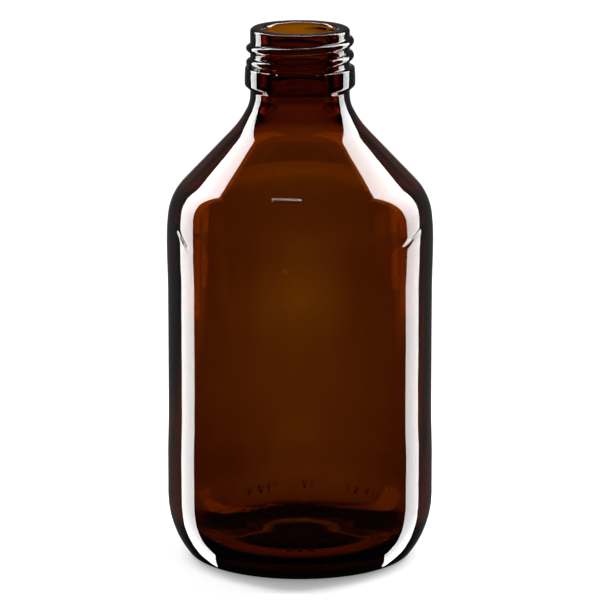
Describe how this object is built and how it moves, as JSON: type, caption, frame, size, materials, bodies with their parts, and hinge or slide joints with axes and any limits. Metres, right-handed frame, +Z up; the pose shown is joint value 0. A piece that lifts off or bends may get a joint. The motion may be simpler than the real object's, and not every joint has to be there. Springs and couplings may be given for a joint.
{
  "type": "glass medicine bottle",
  "caption": "Round amber glass medicine bottle with a sloping shoulder, a hollow base, a locking bead and an external screw finish, with no cap.",
  "frame": {"origin": "centre of the ring that the bottle stands on, at the standing surface", "axes": "+Z up along the bottle's axis to the mouth; -Y is the side with the raised bar on the shoulder"},
  "size_m": [0.068, 0.068, 0.137],
  "materials": {
    "amber_glass": "clear amber glass, fire-polished and glossy"
  },
  "bodies": {
    "root": {"bottle": "amber_glass"}
  },
  "joints": []
}
